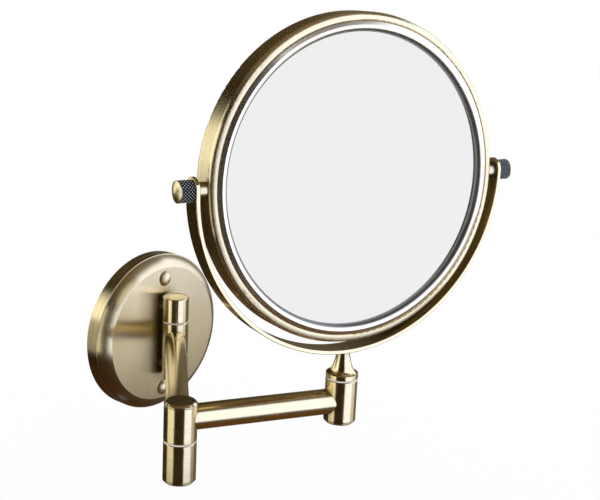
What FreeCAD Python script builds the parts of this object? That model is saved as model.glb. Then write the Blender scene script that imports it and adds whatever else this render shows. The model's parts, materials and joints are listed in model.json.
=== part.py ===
import FreeCAD, Part
import math
import os

# Round makeup mirror on a two-link swing arm, in millimetres.
# The origin is the centre of the wall plate's back rim: +Y goes into the wall, -Y into the room, +Z up.

# Pose, in degrees: both arms from straight out of the wall, then the mirror's yaw and tilt
inner_arm_angle = -43.3
outer_arm_angle = 63.4
mirror_yaw = -19.4
mirror_tilt = 2.5

# Clearances and the overrun of every cut
running_clearance = 0.05
thread_clearance = 0.05
braze_gap = 0.05
seat_gap = 0.1
overrun = 1.0

# Wall plate: a spun dish, open to the wall
plate_dia = 125.0
plate_depth = 18.5
plate_band_depth = 10.8
plate_step = 0.7
plate_shoulder_width = 8.3
plate_shoulder_bulge = 1.4
plate_wall = 1.5

# Screws into the wall, under domed caps
wall_screw_inset = 8.5
wall_screw_neck_dia = 4.3
wall_screw_thread_dia = 4.0
wall_screw_thread_start = 1.0
wall_screw_reach = 21.0
wall_screw_tip = 3.0
wall_screw_tip_dia = 0.8
wall_screw_head_dia = 6.4
wall_screw_head_height = 1.6
screw_cap_dia = 12.2
screw_cap_height = 3.4
screw_cap_wall = 0.7

# Hinge barrels, all turned from one bar
barrel_dia = 20.3
barrel_bevel = 0.5
cap_height = 1.8
cap_bevel = 1.3
cap_plug_length = 4.0
cap_plug_dia = 13.9

# Wall hinge: two fixed knuckles with the arm's knuckle between them
hinge_standoff = 31.0
middle_knuckle_height = 26.6
side_knuckle_height = 19.2
hinge_washer_thickness = 0.7
washer_inset = 0.35
hinge_pin_dia = 6.0
inset_cap_depth = 2.0
inset_cap_rim = 1.1
inset_cap_dome = 0.5
spacer_dia = 10.6
spacer_screw_dia = 4.0
spacer_screw_head_dia = 8.0
spacer_screw_head_height = 2.6
spacer_screw_bite = 4.0

# Arms
inner_arm_reach = 227.0
outer_arm_reach = 105.5
arm_dia = 16.0
arm_wall = 1.2

# Elbow
elbow_upper_height = 23.0
elbow_lower_height = 24.4
elbow_washer_thickness = 0.8
elbow_bolt_dia = 6.0
elbow_bolt_bite = 14.0
elbow_web = 9.0
bolt_head_dia = 10.0
bolt_head_height = 4.0
spring_washer_dia = 11.0
spring_washer_thickness = 1.2
spring_washer_split = 0.8

# Swivel at the end of the outer arm
end_barrel_height = 27.2
arm_rise_in_elbow = 1.2
arm_drop_in_end = 0.5
swivel_bore_dia = 10.0
swivel_bore_depth = 15.2
stem_washer_thickness = 1.0
collar_height = 2.8
collar_lip = 0.5
stem_height = 14.6
stem_top_dia = 8.2
stem_waist_dia = 13.2
stem_waist_height = 3.2
stem_foot_flare = 0.4
stem_neck_flare = 0.4
retaining_washer_dia = 13.2
retaining_washer_thickness = 1.2
retaining_screw_dia = 5.0
retaining_screw_head_dia = 8.4
retaining_screw_head_height = 2.8
retaining_screw_bite = 9.0

# Yoke: a bent strip with rounded tips
yoke_gap = 5.4
yoke_thickness = 2.5
yoke_width = 14.2
yoke_drop = 0.7
yoke_tip_height = 8.0
yoke_edge_round = 0.45
yoke_screw_dia = 4.0
yoke_screw_head_dia = 7.6
yoke_screw_head_depth = 1.6
yoke_screw_bite = 9.0

# Mirror frame: a deep band with two bezels let into it; depths go front and back from the pivot line
frame_dia = 200.0
front_ridge_depth = 7.2
back_ridge_depth = 11.3
front_corner_depth = 3.45
front_corner_width = 1.9
ridge_face_drop = 0.45
ridge_face_bulge = 0.12
back_corner = 2.4
ridge_width = 5.3
ridge_round = 1.1
band_land_width = 1.7
bezel_seat_drop = 5.4
bezel_crest_rise = 1.1
bezel_outer_round = 1.5
bezel_slope_drop = 2.5
bezel_width = 6.15
bezel_glass_lap = 3.0
glass_drop = 2.7
glass_thickness = 3.0
glass_edge_clearance = 0.2
glass_bevel = 0.5
rear_mirror_sag = 4.5
backing_ring_width = 6.0

# Pivots and thumbscrews
boss_dia = 9.8
boss_edge = 0.4
boss_spigot_dia = 6.0
boss_spigot_length = 5.0
boss_bore_depth = 8.5
friction_washer_dia = 10.6
friction_washer_thickness = 0.5
thumbscrew_shank_dia = 4.0
thumbscrew_bite = 8.0
thumbscrew_core_dia = 8.0
knob_dia = 13.4
grip_length = 8.4
knob_end_dia = 13.0
knob_end_thickness = 0.5
knob_end_dome = 1.5
knurl_depth = 0.5
knurl_points = 56
knurl_rows = 8

# Sizes that follow from the ones above
barrel_r = barrel_dia / 2
plate_r = plate_dia / 2
plate_step_r = plate_r - plate_step
plate_flat_r = plate_step_r - plate_shoulder_width
wall_screw_height = plate_flat_r - wall_screw_inset
frame_r = frame_dia / 2
knuckle_washer_r = barrel_r - washer_inset
hinge_top = middle_knuckle_height / 2 + hinge_washer_thickness + side_knuckle_height
side_knuckle_low = hinge_top - side_knuckle_height
side_knuckle_middle = hinge_top - side_knuckle_height / 2
inset_cap_floor = hinge_top - inset_cap_depth
elbow_seam = (elbow_upper_height + cap_height) / 2
elbow_upper_low = elbow_seam + elbow_washer_thickness
outer_arm_height = elbow_upper_low + elbow_seam + arm_rise_in_elbow
end_barrel_low = outer_arm_height + arm_drop_in_end - (end_barrel_height - cap_height) / 2
end_barrel_top = end_barrel_low + end_barrel_height
collar_low = end_barrel_top + stem_washer_thickness
collar_top = collar_low + collar_height
yoke_inner_radius = frame_r + yoke_gap
yoke_outer_radius = yoke_inner_radius + yoke_thickness
pivot_height = collar_top + stem_height + yoke_outer_radius + yoke_drop
band_inner_r = frame_r - ridge_width
land_inner_r = band_inner_r - band_land_width
bezel_outer_r = band_inner_r - seat_gap
bezel_opening_r = bezel_outer_r - bezel_width
bezel_crest_r = bezel_outer_r - bezel_outer_round
bezel_slope_width = bezel_crest_r - bezel_opening_r
glass_pocket_r = bezel_opening_r + bezel_glass_lap
glass_r = glass_pocket_r - glass_edge_clearance
front_glass_face = front_ridge_depth - glass_drop
rear_glass_face = back_ridge_depth - glass_drop
boss_end = yoke_inner_radius - seat_gap - friction_washer_thickness

# Bulge of the front corner's arc, which leaves the band's side without an edge
front_corner_run = front_corner_depth - ridge_face_drop
front_corner_chord = math.hypot(front_corner_width, front_corner_run)
front_corner_bulge = front_corner_chord / 2 * math.tan(math.atan2(front_corner_width, front_corner_run) / 2)

# Bulge of the bezel's slope, which leaves the crest level
bezel_slope_chord = math.hypot(bezel_slope_width, bezel_slope_drop)
bezel_slope_bulge = bezel_slope_chord / 2 * math.tan(math.atan2(bezel_slope_drop, bezel_slope_width) / 2)

# Rise of a quarter round over its chord, as a share of its radius
corner_rise_share = 1 - math.sqrt(0.5)

X = FreeCAD.Vector(1, 0, 0)
Y = FreeCAD.Vector(0, 1, 0)
Z = FreeCAD.Vector(0, 0, 1)
nodes = {}


def at(x, y, z):
    """A point or offset."""
    return FreeCAD.Vector(x, y, z)


def outline_wire(points):
    """Closed wire through (radius, height) points; a third value bulges the span that ends there."""
    edges = []
    for here, there in zip(points, points[1:] + points[:1]):
        start = at(here[0], 0, here[1])
        end = at(there[0], 0, there[1])
        if len(there) == 2:
            edges.append(Part.LineSegment(start, end).toShape())
            continue
        side = (end - start).cross(Y)
        side.normalize()
        middle = (start + end) * 0.5 - side * there[2]
        edges.append(Part.Arc(start, middle, end).toShape())
    return Part.Wire(edges)


def turned(points):
    """Solid turned about Z from a closed outline."""
    solid = Part.Face(outline_wire(points)).revolve(at(0, 0, 0), Z, 360)
    if solid.Volume < 0:
        solid.reverse()
    return solid


def rod(radius, low, high):
    """Round bar on Z."""
    return Part.makeCylinder(radius, high - low, at(0, 0, low), Z)


def washer(outer_r, inner_r, low, thickness):
    """Flat ring on Z."""
    high = low + thickness
    return turned([(inner_r, low), (outer_r, low), (outer_r, high), (inner_r, high)])


def placed(shape, offset, *turns):
    """Copy of a shape, turned by each (axis, degrees) in order and then moved."""
    copy = shape.copy()
    for axis, degrees in turns:
        copy.rotate(at(0, 0, 0), axis, degrees)
    copy.translate(offset)
    return copy


def sagitta(radius, chord):
    """Rise of an arc over its chord."""
    return radius - math.sqrt(radius ** 2 - (chord / 2) ** 2)


def sagitta_of_dome(radius, height):
    """Rise of half a dome's section over the chord from its rim to its crown."""
    sphere_r = (radius ** 2 + height ** 2) / (2 * height)
    return sagitta(sphere_r, math.hypot(radius, height))


def barrel(low, high):
    """Barrel blank with its two edges broken."""
    waist = barrel_r - barrel_bevel
    return turned([
        (0, low),
        (waist, low),
        (barrel_r, low + barrel_bevel),
        (barrel_r, high - barrel_bevel),
        (waist, high),
        (0, high),
    ])


def end_cap():
    """Bevelled disc with a plug below it, as for the top of a barrel: its seat is at zero."""
    plug_r = cap_plug_dia / 2
    return turned([
        (0, -cap_plug_length),
        (plug_r, -cap_plug_length),
        (plug_r, 0),
        (barrel_r, 0),
        (barrel_r, cap_height - cap_bevel),
        (barrel_r - cap_bevel, cap_height),
        (0, cap_height),
    ])


def plug_pocket_radius():
    """Bore that takes the plug of an end cap."""
    return cap_plug_dia / 2 + thread_clearance


def wall_plate():
    """Spun dish: side band, fine step, rounded shoulder and flat face, with a wall of one thickness."""
    inner_r = plate_r - plate_wall
    inner_depth = plate_depth - plate_wall
    dish = turned([
        (plate_r, 0),
        (plate_r, plate_band_depth),
        (plate_step_r, plate_band_depth),
        (plate_flat_r, plate_depth, plate_shoulder_bulge),
        (0, plate_depth),
        (0, inner_depth),
        (plate_flat_r - plate_step, inner_depth),
        (inner_r - plate_step, plate_band_depth - plate_wall, -plate_shoulder_bulge),
        (inner_r, plate_band_depth - plate_wall),
        (inner_r, 0),
    ])
    neck_r = wall_screw_neck_dia / 2 + running_clearance
    spacer_hole_r = spacer_screw_dia / 2 + thread_clearance
    for sign in (-1, 1):
        hole = rod(neck_r, 0, plate_depth + overrun)
        hole.translate(at(0, sign * wall_screw_height, 0))
        dish = dish.cut(hole)
        hole = rod(spacer_hole_r, 0, plate_depth + overrun)
        hole.translate(at(0, sign * side_knuckle_middle, 0))
        dish = dish.cut(hole)
    return placed(dish, at(0, 0, 0), (X, 90))


def wall_screw():
    """Wood screw along its own Z, head seat at zero and the tip below; the thread's outer size is plain."""
    neck_r = wall_screw_neck_dia / 2
    thread_r = wall_screw_thread_dia / 2
    head_r = wall_screw_head_dia / 2
    thread_top = wall_screw_thread_start - plate_depth
    tip = -plate_depth - wall_screw_reach
    head_edge = wall_screw_head_height / 2
    return turned([
        (0, tip),
        (wall_screw_tip_dia / 2, tip),
        (thread_r, tip + wall_screw_tip),
        (thread_r, thread_top),
        (neck_r, thread_top),
        (neck_r, 0),
        (head_r, 0),
        (head_r, head_edge),
        (0, wall_screw_head_height, sagitta_of_dome(head_r, wall_screw_head_height - head_edge)),
    ])


def screw_cap():
    """Hollow dome that hides a screw head."""
    outer_r = screw_cap_dia / 2
    inner_r = outer_r - screw_cap_wall
    inner_height = screw_cap_height - screw_cap_wall
    outer_rise = sagitta_of_dome(outer_r, screw_cap_height)
    inner_rise = sagitta_of_dome(inner_r, inner_height)
    return turned([
        (inner_r, 0, -inner_rise),
        (outer_r, 0),
        (0, screw_cap_height, outer_rise),
        (0, inner_height),
    ])


def side_knuckle():
    """Upper fixed knuckle about the hinge axis: pin bore, pocket for its cap, tapped hole for its spacer."""
    body = barrel(side_knuckle_low, hinge_top)
    body = body.cut(rod(hinge_pin_dia / 2 + thread_clearance, side_knuckle_low - overrun, hinge_top))
    body = body.cut(rod(barrel_r - inset_cap_rim, inset_cap_floor, hinge_top + overrun))
    tap_r = spacer_screw_dia / 2 + thread_clearance
    tap_start = at(0, barrel_r - spacer_screw_bite - thread_clearance, side_knuckle_middle)
    return body.cut(Part.makeCylinder(tap_r, barrel_r, tap_start, Y))


def inset_cap():
    """Slightly domed disc let into the end of a knuckle."""
    cap_r = barrel_r - inset_cap_rim - thread_clearance
    edge = hinge_top - inset_cap_dome / 2
    crown = edge + inset_cap_dome
    return turned([
        (0, inset_cap_floor),
        (cap_r, inset_cap_floor),
        (cap_r, edge),
        (0, crown, sagitta_of_dome(cap_r, inset_cap_dome)),
    ])


def hinge_spacer():
    """Short pillar from the plate's face to a knuckle, its end cut to the knuckle's curve."""
    face = hinge_standoff - plate_depth
    pillar = Part.makeCylinder(spacer_dia / 2, face, at(0, 0, side_knuckle_middle), Y)
    bore_r = spacer_screw_dia / 2 + thread_clearance
    pillar = pillar.cut(Part.makeCylinder(bore_r, face + overrun, at(0, 0, side_knuckle_middle), Y))
    return pillar.cut(rod(barrel_r + braze_gap, 0, hinge_top + spacer_dia))


def spacer_screw():
    """Pan-head screw along +Z from behind the plate; the head's seat is at zero."""
    shank_r = spacer_screw_dia / 2
    head_r = spacer_screw_head_dia / 2
    length = hinge_standoff - plate_depth + plate_wall - barrel_r + spacer_screw_bite
    return turned([
        (0, length),
        (0, -spacer_screw_head_height),
        (head_r / 2, -spacer_screw_head_height),
        (head_r, 0, spacer_screw_head_height / 4),
        (shank_r, 0),
        (shank_r, length),
    ])


def add_bracket():
    """Everything that stays still on the wall."""
    hinge = at(0, -hinge_standoff, 0)
    nodes["wall_plate"] = wall_plate()
    screws = []
    caps = []
    back_screws = []
    for sign in (-1, 1):
        face = at(0, -plate_depth, sign * wall_screw_height)
        screws.append(placed(wall_screw(), face, (X, 90)))
        caps.append(placed(screw_cap(), face, (X, 90)))
        inner_face = at(0, plate_wall - plate_depth, sign * side_knuckle_middle)
        back_screws.append(placed(spacer_screw(), inner_face, (X, 90)))
    nodes["wall_screws"] = Part.makeCompound(screws)
    nodes["screw_caps"] = Part.makeCompound(caps)
    nodes["spacer_screws"] = Part.makeCompound(back_screws)
    pin_hole_r = hinge_pin_dia / 2 + seat_gap
    ring = washer(knuckle_washer_r, pin_hole_r, middle_knuckle_height / 2, hinge_washer_thickness)
    for side, turn in (("upper", 0), ("lower", 180)):
        nodes[side + "_spacer"] = placed(hinge_spacer(), hinge, (Y, turn))
        nodes[side + "_knuckle"] = placed(side_knuckle(), hinge, (Y, turn))
        nodes[side + "_hinge_cap"] = placed(inset_cap(), hinge, (Y, turn))
        nodes[side + "_hinge_washer"] = placed(ring, hinge, (Y, turn))
    nodes["wall_hinge_pin"] = placed(rod(hinge_pin_dia / 2, -inset_cap_floor, inset_cap_floor), hinge)


def coped_tube(reach, height):
    """Arm tube along X between two barrels, its ends cut to their curve."""
    start = at(0, 0, height)
    tube = Part.makeCylinder(arm_dia / 2, reach, start, X)
    tube = tube.cut(Part.makeCylinder(arm_dia / 2 - arm_wall, reach, start, X))
    for x in (0, reach):
        cope = rod(barrel_r + braze_gap, height - arm_dia, height + arm_dia)
        cope.translate(at(x, 0, 0))
        tube = tube.cut(cope)
    return tube


def inner_arm_place(shape):
    """From the inner arm's own frame, hinge at the origin and arm along X, to the part's frame."""
    return placed(shape, at(0, -hinge_standoff, 0), (Z, inner_arm_angle - 90))


def arm_direction(degrees):
    """Level unit vector at an angle from straight out of the wall."""
    angle = math.radians(degrees)
    return at(math.sin(angle), -math.cos(angle), 0)


def outer_arm_place(shape):
    """From the outer arm's own frame, elbow at the origin and arm along X, to the part's frame."""
    elbow = at(0, -hinge_standoff, 0) + arm_direction(inner_arm_angle) * inner_arm_reach
    return placed(shape, elbow, (Z, outer_arm_angle - 90))


def split_washer(outer_r, inner_r, low, thickness):
    """Spring washer: a flat ring with a split."""
    ring = washer(outer_r, inner_r, low, thickness)
    slot = Part.makeBox(outer_r + overrun, spring_washer_split, thickness + 2 * overrun)
    slot.translate(at(0, 0, low - overrun))
    return ring.cut(slot)


def elbow_bolt():
    """Shouldered bolt, fast in the lower half of the elbow, its head inside the upper half."""
    shank_r = elbow_bolt_dia / 2
    head_r = bolt_head_dia / 2
    low = elbow_seam - elbow_bolt_bite
    seat = elbow_upper_low + elbow_web + spring_washer_thickness
    top = seat + bolt_head_height
    return turned([(0, low), (shank_r, low), (shank_r, seat), (head_r, seat), (head_r, top), (0, top)])


def add_inner_arm():
    """Middle knuckle, tube and the lower half of the elbow."""
    half = middle_knuckle_height / 2
    knuckle = barrel(-half, half)
    knuckle = knuckle.cut(rod(hinge_pin_dia / 2 + running_clearance, -half - overrun, half + overrun))
    low = elbow_seam - elbow_lower_height
    lower = barrel(low, elbow_seam)
    bolt_bore_r = elbow_bolt_dia / 2 + thread_clearance
    lower = lower.cut(rod(bolt_bore_r, elbow_seam - elbow_bolt_bite - seat_gap, elbow_seam + overrun))
    lower = lower.cut(rod(plug_pocket_radius(), low - overrun, low + cap_plug_length + seat_gap))
    ring = washer(knuckle_washer_r, elbow_bolt_dia / 2 + seat_gap, elbow_seam, elbow_washer_thickness)
    spring_low = elbow_upper_low + elbow_web
    spring = split_washer(spring_washer_dia / 2, bolt_bore_r, spring_low, spring_washer_thickness)
    elbow = at(inner_arm_reach, 0, 0)
    nodes["middle_knuckle"] = inner_arm_place(knuckle)
    nodes["inner_arm_tube"] = inner_arm_place(coped_tube(inner_arm_reach, 0))
    nodes["lower_elbow_barrel"] = inner_arm_place(placed(lower, elbow))
    nodes["elbow_bottom_cap"] = inner_arm_place(placed(end_cap(), elbow + at(0, 0, low), (X, 180)))
    nodes["elbow_washer"] = inner_arm_place(placed(ring, elbow))
    nodes["elbow_bolt"] = inner_arm_place(placed(elbow_bolt(), elbow))
    nodes["elbow_spring_washer"] = inner_arm_place(placed(spring, elbow))


def add_outer_arm():
    """Upper half of the elbow, tube and the barrel that carries the mirror."""
    top = elbow_upper_low + elbow_upper_height
    web_top = elbow_upper_low + elbow_web
    upper = barrel(elbow_upper_low, top)
    upper = upper.cut(rod(elbow_bolt_dia / 2 + running_clearance, elbow_upper_low - overrun, web_top))
    upper = upper.cut(rod(plug_pocket_radius(), web_top, top + overrun))
    shoulder = end_barrel_top - swivel_bore_depth
    end = barrel(end_barrel_low, end_barrel_top)
    end = end.cut(rod(swivel_bore_dia / 2 + running_clearance, shoulder, end_barrel_top + overrun))
    end = end.cut(rod(plug_pocket_radius(), end_barrel_low - overrun, shoulder))
    far = at(outer_arm_reach, 0, 0)
    nodes["upper_elbow_barrel"] = outer_arm_place(upper)
    nodes["elbow_top_cap"] = outer_arm_place(placed(end_cap(), at(0, 0, top)))
    nodes["outer_arm_tube"] = outer_arm_place(coped_tube(outer_arm_reach, outer_arm_height))
    nodes["end_barrel"] = outer_arm_place(placed(end, far))
    nodes["end_bottom_cap"] = outer_arm_place(placed(end_cap(), far + at(0, 0, end_barrel_low), (X, 180)))


def yoke_place(shape):
    """From the yoke's own frame, pivot line along X through the origin, to the part's frame."""
    swivel = at(0, -hinge_standoff, pivot_height)
    swivel = swivel + arm_direction(inner_arm_angle) * inner_arm_reach
    swivel = swivel + arm_direction(outer_arm_angle) * outer_arm_reach
    return placed(shape, swivel, (Z, mirror_yaw))


def strip_rod(radius):
    """Long round bar across the strip, about the centre of the yoke's bend."""
    return Part.makeCylinder(radius, 2 * yoke_width, at(0, -yoke_width, -yoke_drop), Y)


def yoke_strip():
    """U-shaped strip from one eased half section, taken round the bend, up both sides and over the tips."""
    half_width = yoke_width / 2
    ease = yoke_edge_round
    ease_rise = ease * corner_rise_share
    section = Part.Face(outline_wire([
        (yoke_inner_radius, 0),
        (yoke_outer_radius, 0),
        (yoke_outer_radius, half_width - ease),
        (yoke_outer_radius - ease, half_width, ease_rise),
        (yoke_inner_radius + ease, half_width),
        (yoke_inner_radius, half_width - ease, ease_rise),
    ]))
    bend_centre = at(0, 0, -yoke_drop)
    tip_centre = at(0, 0, yoke_tip_height - half_width)
    at_bend = placed(section, bend_centre, (X, -90))
    at_tip = placed(section, tip_centre, (X, -90))
    bend = at_bend.revolve(bend_centre, Y, 180)
    straight = at_bend.extrude(tip_centre - bend_centre)
    side = straight.fuse(straight.mirror(bend_centre, Y)).fuse(at_tip.revolve(tip_centre, X, 180))
    strip = bend.fuse(bend.mirror(bend_centre, Y)).fuse(side).fuse(placed(side, at(0, 0, 0), (Z, 180)))
    strip = strip.removeSplitter()
    pivot_r = thumbscrew_shank_dia / 2 + running_clearance
    pivot_hole = Part.makeCylinder(pivot_r, 4 * yoke_outer_radius, at(-2 * yoke_outer_radius, 0, 0), X)
    return strip.cut(pivot_hole).cut(yoke_screw(thread_clearance))


def yoke_screw(clearance):
    """Countersunk screw from inside the bend into the stem; a clearance makes it the cutter for its seat."""
    floor = -yoke_drop - yoke_inner_radius
    head_r = yoke_screw_head_dia / 2 + clearance
    shank_r = yoke_screw_dia / 2 + clearance
    top = floor if clearance == 0 else floor + overrun
    low = floor - yoke_thickness - yoke_screw_bite - clearance
    return turned([
        (0, low),
        (shank_r, low),
        (shank_r, floor - yoke_screw_head_depth),
        (head_r, floor),
        (head_r, top + seat_gap),
        (0, top + seat_gap),
    ])


def swivel_stem():
    """Trumpet stem on a collar, with a spigot below; its top is cut to the yoke's curve."""
    to_pivot = -pivot_height
    spigot_r = swivel_bore_dia / 2
    spigot_low = end_barrel_top - swivel_bore_depth + to_pivot
    low = collar_low + to_pivot
    high = collar_top + to_pivot
    seat = high + stem_height
    top = seat + yoke_thickness / 2
    stem = turned([
        (0, spigot_low),
        (spigot_r, spigot_low),
        (spigot_r, low),
        (barrel_r, low),
        (barrel_r, high),
        (barrel_r - collar_lip, high),
        (stem_waist_dia / 2, high + stem_waist_height, -stem_foot_flare),
        (stem_top_dia / 2, seat, -stem_neck_flare),
        (stem_top_dia / 2, top),
        (0, top),
    ])
    tap_r = retaining_screw_dia / 2 + thread_clearance
    stem = stem.cut(rod(tap_r, spigot_low - overrun, spigot_low + retaining_screw_bite + seat_gap))
    return stem.cut(strip_rod(yoke_outer_radius + braze_gap)).cut(yoke_screw(thread_clearance))


def retaining_screw():
    """Screw that draws the spigot down against its washer inside the end barrel."""
    shank_r = retaining_screw_dia / 2
    head_r = retaining_screw_head_dia / 2
    bore_end = end_barrel_top - swivel_bore_depth - pivot_height
    seat = bore_end - retaining_washer_thickness
    low = seat - retaining_screw_head_height
    top = bore_end + retaining_screw_bite
    return turned([(0, low), (head_r, low), (head_r, seat), (shank_r, seat), (shank_r, top), (0, top)])


def add_yoke():
    """Stem, yoke and what holds them."""
    bore_end = end_barrel_top - swivel_bore_depth - pivot_height
    nylon = washer(knuckle_washer_r, swivel_bore_dia / 2 + seat_gap, end_barrel_top - pivot_height,
                   stem_washer_thickness)
    steel_low = bore_end - retaining_washer_thickness
    screw_hole_r = retaining_screw_dia / 2 + thread_clearance
    steel = washer(retaining_washer_dia / 2, screw_hole_r, steel_low, retaining_washer_thickness)
    nodes["yoke"] = yoke_place(yoke_strip())
    nodes["yoke_screw"] = yoke_place(yoke_screw(0))
    nodes["swivel_stem"] = yoke_place(swivel_stem())
    nodes["stem_washer"] = yoke_place(nylon)
    nodes["stem_retaining_washer"] = yoke_place(steel)
    nodes["stem_retaining_screw"] = yoke_place(retaining_screw())


def head_place(shape):
    """From the mirror head's own frame, front along -Y and pivot line along X, to the part's frame."""
    return yoke_place(placed(shape, at(0, 0, 0), (X, -mirror_tilt)))


def frame_band():
    """Outer ring with a broad front face and a rabbet for a bezel on each side of a land."""
    ridge_r = band_inner_r + ridge_round
    front = front_ridge_depth
    back = -back_ridge_depth
    ring = turned([
        (land_inner_r, back + bezel_seat_drop),
        (band_inner_r, back + bezel_seat_drop),
        (band_inner_r, back + ridge_round),
        (ridge_r, back, ridge_round * corner_rise_share),
        (frame_r - back_corner, back),
        (frame_r, back + back_corner, back_corner * corner_rise_share),
        (frame_r, front - front_corner_depth),
        (frame_r - front_corner_width, front - ridge_face_drop, front_corner_bulge),
        (ridge_r, front, ridge_face_bulge),
        (band_inner_r, front - ridge_round, ridge_round * corner_rise_share),
        (band_inner_r, front - bezel_seat_drop),
        (land_inner_r, front - bezel_seat_drop),
    ])
    spigot_r = boss_spigot_dia / 2 + thread_clearance
    hole_end = frame_r - boss_spigot_length - seat_gap
    for turn in (90, -90):
        hole = rod(spigot_r, hole_end, frame_r + overrun)
        ring = ring.cut(placed(hole, at(0, 0, 0), (Y, turn)))
    return ring


def bezel(ridge_depth):
    """Bezel about the mirror's own axis: a proud roll that slopes in to the glass, over a rabbet for it."""
    seat = ridge_depth - bezel_seat_drop
    crest = ridge_depth + bezel_crest_rise
    glass_face = ridge_depth - glass_drop
    return turned([
        (bezel_outer_r, seat),
        (bezel_outer_r, crest - bezel_outer_round),
        (bezel_crest_r, crest, bezel_outer_round * corner_rise_share),
        (bezel_opening_r, crest - bezel_slope_drop, bezel_slope_bulge),
        (bezel_opening_r, glass_face),
        (glass_pocket_r, glass_face),
        (glass_pocket_r, seat),
    ])


def flat_glass():
    """Plain front mirror."""
    low = front_glass_face - glass_thickness
    return turned([
        (0, low),
        (glass_r, low),
        (glass_r, front_glass_face - glass_bevel),
        (glass_r - glass_bevel, front_glass_face),
        (0, front_glass_face),
    ])


def hollow_glass():
    """Magnifying mirror: a slumped disc whose face is hollow."""
    low = rear_glass_face - glass_thickness
    rise = sagitta_of_dome(glass_r, rear_mirror_sag)
    return turned([
        (0, low - rear_mirror_sag),
        (glass_r, low, rise),
        (glass_r, rear_glass_face),
        (0, rear_glass_face - rear_mirror_sag, -rise),
    ])


def backing_ring():
    """Foam ring that presses both glasses into their bezels; its back follows the hollow glass."""
    front = front_glass_face - glass_thickness
    back = glass_thickness - rear_glass_face + seat_gap
    inner_r = glass_r - backing_ring_width
    sphere_r = (glass_r ** 2 + rear_mirror_sag ** 2) / (2 * rear_mirror_sag)
    fall = math.sqrt(sphere_r ** 2 - inner_r ** 2) - math.sqrt(sphere_r ** 2 - glass_r ** 2)
    return turned([(inner_r, back + fall), (glass_r, back), (glass_r, front), (inner_r, front)])


def pivot_boss():
    """Turned boss along Z from the mirror's centre: spigot in the band, tapped for the thumbscrew."""
    boss_r = boss_dia / 2
    spigot_r = boss_spigot_dia / 2
    spigot_low = frame_r - boss_spigot_length
    root = frame_r - boss_edge
    boss = turned([
        (0, spigot_low),
        (spigot_r, spigot_low),
        (spigot_r, root),
        (boss_r, root),
        (boss_r, boss_end - boss_edge),
        (boss_r - boss_edge, boss_end),
        (0, boss_end),
    ])
    shoulder = rod(boss_r + overrun, root - overrun, frame_r + boss_edge)
    shoulder = shoulder.cut(rod(spigot_r, root - 2 * overrun, frame_r + overrun))
    band = Part.makeCylinder(frame_r + braze_gap, 4 * boss_dia, at(0, -2 * boss_dia, 0), Y)
    boss = boss.cut(shoulder.common(band))
    tap_r = thumbscrew_shank_dia / 2 + running_clearance
    return boss.cut(rod(tap_r, boss_end - boss_bore_depth, boss_end + overrun))


def thumbscrew():
    """Screw with a polished, slightly domed end; along Z, with the yoke's outer face at zero."""
    shank_r = thumbscrew_shank_dia / 2
    core_r = thumbscrew_core_dia / 2
    end_r = knob_end_dia / 2
    tip = boss_end - yoke_outer_radius - thumbscrew_bite
    edge = grip_length + knob_end_thickness
    return turned([
        (0, tip),
        (shank_r, tip),
        (shank_r, 0),
        (core_r, 0),
        (core_r, grip_length),
        (end_r, grip_length),
        (end_r, edge),
        (0, edge + knob_end_dome, sagitta_of_dome(end_r, knob_end_dome)),
    ])


def knurl_ring(row):
    """Points of one ring of the knurl: crests and roots take turns and shift by one from ring to ring."""
    crest_r = knob_dia / 2
    points = []
    for step in range(knurl_points):
        inner_row = 0 < row < knurl_rows
        raised = inner_row and (step + row) % 2 == 1
        radius = crest_r if raised else crest_r - knurl_depth
        angle = 2 * math.pi * step / knurl_points
        height = grip_length * row / knurl_rows
        points.append(at(radius * math.cos(angle), radius * math.sin(angle), height))
    return points


def triangle(a, b, c):
    """Flat face on three points."""
    return Part.Face(Part.makePolygon([a, b, c, a]))


def knob_grip():
    """Knurled ring: four-sided points in a diamond pattern between two flat ends, on the screw's core."""
    rings = [knurl_ring(row) for row in range(knurl_rows + 1)]
    faces = []
    for row in range(knurl_rows):
        low = rings[row]
        high = rings[row + 1]
        for step in range(knurl_points):
            after = (step + 1) % knurl_points
            if (step + row) % 2 == 1:
                faces.append(triangle(low[step], low[after], high[step]))
                faces.append(triangle(low[after], high[after], high[step]))
            else:
                faces.append(triangle(low[step], low[after], high[after]))
                faces.append(triangle(low[step], high[after], high[step]))
    for ring in (rings[0], rings[-1]):
        faces.append(Part.Face(Part.makePolygon(ring + ring[:1])))
    shell = Part.makeShell(faces)
    shell.sewShape()
    grip = Part.makeSolid(shell)
    if grip.Volume < 0:
        grip.reverse()
    core_r = thumbscrew_core_dia / 2 + thread_clearance
    return grip.cut(rod(core_r, -overrun, grip_length + overrun))


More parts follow.
